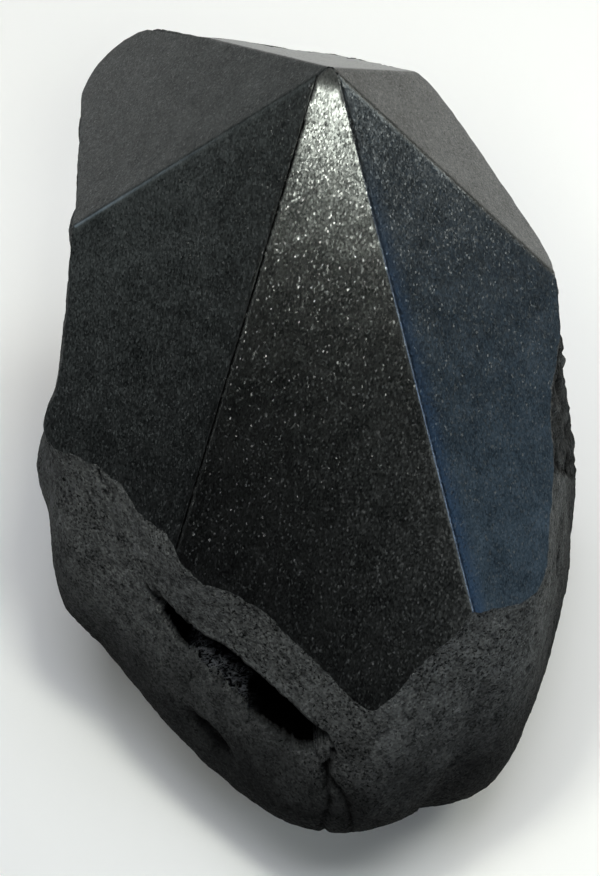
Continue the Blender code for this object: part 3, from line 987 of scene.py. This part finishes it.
def broken_hematite():
    """Broken hematite skin: granular and matt, so it scatters a dark even grey, with painted shade that
    blackens its pores and recesses and darkens its underside. Its rough grains mirror almost nothing, so its
    IOR is far below the mineral's own."""
    finish, tree, shader, place = new_finish("broken_hematite")
    normal, shade, _ = leaning_grains(tree, place, SKIN_GRAIN_MM, UNTURNED, *SKIN_LEANS)
    body = clouded_grains(tree, place, shade, cloud_mm=2.2, clouding=2.0, span=(0.7, 2.1),
                          dark="#151616", pale="#636565")
    # painted shade on the underside
    body = laid_over(tree, body, "under", "#0a0b0b")
    rim = add(tree, "ShaderNodeAttribute", attribute_name="rim")
    sunk = add(tree, "ShaderNodeAttribute", attribute_name="sunk")
    pores = crumbled(tree, place, PORE_MM, detail=2.0, roughness=0.55)
    deeper = add(tree, "ShaderNodeMath", {0: rim.outputs["Fac"], 1: -0.06, 2: pores},
                 operation="MULTIPLY_ADD")
    pore = add(tree, "ShaderNodeMapRange", {"Value": deeper.outputs["Value"], "From Min": 0.36,
                                            "From Max": 0.29, "To Max": 0.85}).outputs["Result"]
    # painted shade: black in the pores and in the skin's recesses
    dark = add(tree, "ShaderNodeMath", {0: pore, 1: sunk.outputs["Fac"]}, operation="MAXIMUM")
    colour = add(tree, "ShaderNodeMix", {SHARE: dark.outputs["Value"], AT_0: body, AT_1: paint("#020202")},
                 data_type="RGBA")
    crumbs = crumbled(tree, place, CRUMB_MM, detail=3.0, roughness=0.6)
    height = add(tree, "ShaderNodeMath", {0: crumbs, 1: pore}, operation="SUBTRACT")
    bump = add(tree, "ShaderNodeBump", {"Strength": 1.0, "Distance": CRUMB_HEIGHT_MM * MM,
                                        "Height": height.outputs["Value"], "Normal": normal})
    feed(tree, shader, {"Base Color": colour.outputs[MIXED], "Roughness": 0.75, "IOR": 1.1,
                        "Normal": bump.outputs["Normal"]})
    return finish


def gash_hematite():
    """Earthy hematite inside the gash: dull and fibrous, with painted shade that is dark between the fibres
    and black where it runs deep.
    """
    finish, tree, shader, place = new_finish("gash_hematite")
    fibres = crumbled(tree, place, GASH_FIBRE_MM, detail=3.0, roughness=0.6, distortion=1.5)
    # painted shade: near black where the fibres lie low, paler on their tops
    share = add(tree, "ShaderNodeMapRange", {"Value": fibres, "From Min": 0.45, "From Max": 0.70})
    body = add(tree, "ShaderNodeMix", {SHARE: share.outputs["Result"], AT_0: paint("#050506"),
                                       AT_1: paint("#535559")}, data_type="RGBA").outputs[MIXED]
    bump = add(tree, "ShaderNodeBump", {"Strength": 1.0, "Distance": GASH_FIBRE_HEIGHT_MM * MM,
                                        "Height": fibres})
    # painted shade, black where the gash runs deep
    feed(tree, shader, {"Base Color": laid_over(tree, body, "sunk", "#000000"), "Roughness": 0.85,
                        "IOR": 1.05, "Normal": bump.outputs["Normal"]})
    return finish


def finish_with(stone):
    """Gives the stone its finishes in the order of its kinds of face; the foot is broken skin too."""
    for finish in (ground_hematite(), broken_hematite(), gash_hematite()):
        stone.data.materials.append(finish)
    stone.data.materials.append(stone.data.materials[BROKEN])


# soft lights: where each aims, the bearing and tilt it comes from, how far away it is, its width and
# height, its power in watts and its colour
BODY = (0.0, -0.01, 0.045)
SOFTBOXES = {
    "key": (tuple(APEX), -10.0, 50.0, 0.050, (0.018, 0.018), 0.045, "#fdfff0"),
    "overhead": (BODY, 180.0, 84.0, 0.45, (0.35, 0.35), 1.50, "#f3f5fc"),
    "front": (BODY, 8.0, 33.0, 0.18, (0.045, 0.045), 0.0155, "#fbfff8"),
    "edge": (BODY, 37.0, 41.0, 0.50, (0.06, 0.10), 0.080, "#d4e6ff"),
    "left": (BODY, -100.0, 26.0, 0.50, (0.44, 0.24), 0.27, "#f4fffa"),
    "right": (BODY, 110.0, 30.0, 0.40, (0.16, 0.16), 0.40, "#f5ffff"),
    "back right": (BODY, 130.0, 30.0, 0.50, (0.40, 0.30), 0.66, "#fff4d4"),
    "window": (BODY, 80.0, 8.0, 0.40, (0.16, 0.16), 0.077, "#acdbff"),
    "low left": (BODY, -150.0, 5.0, 0.90, (0.50, 0.30), 0.11, "#f0fff0"),
}


def softbox(name, aim, bearing, tilt, away, size, watts, colour):
    """Soft light that faces the aim, itself unseen by the camera."""
    lamp = bpy.data.lights.new(name, "AREA")
    lamp.shape = "RECTANGLE"
    lamp.size, lamp.size_y = size
    lamp.energy = watts
    lamp.color = paint(colour)[:3]
    box = placed(name, lamp)
    way = Vector(outward(bearing, tilt))
    box.location = Vector(aim) + way * away
    box.rotation_euler = (-way).to_track_quat("-Z", "Y").to_euler()
    box.visible_camera = False


# white paper that the stone stands on: how far it reaches each way, and the distances from its middle
# over which its glow grows, which stands for a studio's lit ground
PAPER_REACH, GLOW_FROM, GLOW_TO = 2.0, 0.2, 1.2
# upward share of the way to the backdrop over which it turns from pale to dark
HORIZON_TOP, DARK_FROM = 0.14, 0.30


def pale_floor():
    """Matt white paper, which glows a little and more so far off."""
    mesh = bpy.data.meshes.new("floor")
    corners = [(-1.0, -1.0), (1.0, -1.0), (1.0, 1.0), (-1.0, 1.0)]
    mesh.from_pydata([(x * PAPER_REACH, y * PAPER_REACH, 0.0) for x, y in corners], [], [(0, 1, 2, 3)])
    paper, tree, shader, place = new_finish("white_paper")
    away = add(tree, "ShaderNodeVectorMath", {0: place}, operation="LENGTH")
    far = add(tree, "ShaderNodeMapRange", {"Value": away.outputs["Value"], "From Min": GLOW_FROM,
                                           "From Max": GLOW_TO}, interpolation_type="SMOOTHSTEP")
    glow = add(tree, "ShaderNodeMix", {SHARE: far.outputs["Result"], AT_0: paint("#424242"),
                                       AT_1: paint("#838486")}, data_type="RGBA")
    feed(tree, shader, {"Base Color": paint("#fafaf8"), "Roughness": 0.95, "IOR": 1.3,
                        "Emission Color": glow.outputs[MIXED], "Emission Strength": 1.0})
    mesh.materials.append(paper)
    placed("floor", mesh)


def dim_room():
    """Studio round the stone: pale at the horizon and dark above, so that the facets stay dark."""
    world = bpy.data.worlds.new("studio")
    bpy.context.scene.world = world
    world.use_nodes = True
    tree = world.node_tree
    way = add(tree, "ShaderNodeTexCoord").outputs["Generated"]
    height = add(tree, "ShaderNodeSeparateXYZ", {"Vector": way}).outputs["Z"]
    rise = add(tree, "ShaderNodeMapRange", {"Value": height, "From Min": HORIZON_TOP, "From Max": DARK_FROM},
               interpolation_type="SMOOTHSTEP")
    colour = add(tree, "ShaderNodeMix", {SHARE: rise.outputs["Result"], AT_0: paint("#898a8c"),
                                         AT_1: paint("#000000")}, data_type="RGBA")
    feed(tree, tree.nodes["Background"], {"Color": colour.outputs[MIXED]})


# the photograph's view: from the front and 55 degrees above, with the point at this pixel
PICTURE_SIZE = (600, 876)
POINT_PIXEL = (331.0, 67.0)
FOCAL_PIXELS = 2200.0
VIEW_TILT = 55.0
POINT_SCALE = 0.09 * MM   # metres to a pixel at the point
SENSOR = 36.0
NEAREST_SEEN = 0.01


def camera():
    """Camera at the photograph's view, placed so that the point falls on its pixel."""
    look = Vector(-outward(0.0, VIEW_TILT))
    above = Vector(outward(180.0, 90.0 - VIEW_TILT))
    right = look.cross(above)
    across = (POINT_PIXEL[0] - PICTURE_SIZE[0] / 2.0) * POINT_SCALE
    over = (PICTURE_SIZE[1] / 2.0 - POINT_PIXEL[1]) * POINT_SCALE
    lens = bpy.data.cameras.new("camera")
    lens.sensor_width = SENSOR
    lens.lens = SENSOR * FOCAL_PIXELS / max(PICTURE_SIZE)
    lens.clip_start = NEAREST_SEEN
    eye = placed("camera", lens)
    eye.location = Vector(APEX) - look * FOCAL_PIXELS * POINT_SCALE - right * across - above * over
    eye.rotation_euler = (math.radians(90.0 - VIEW_TILT), 0.0, 0.0)
    bpy.context.scene.camera = eye


stone = whole_stone()
finish_with(stone)
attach(stone, "root")
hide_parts("hematite_stone")

pale_floor()
dim_room()
for name, row in SOFTBOXES.items():
    softbox(name, *row)
camera()
bpy.context.scene.view_settings.view_transform = "Standard"
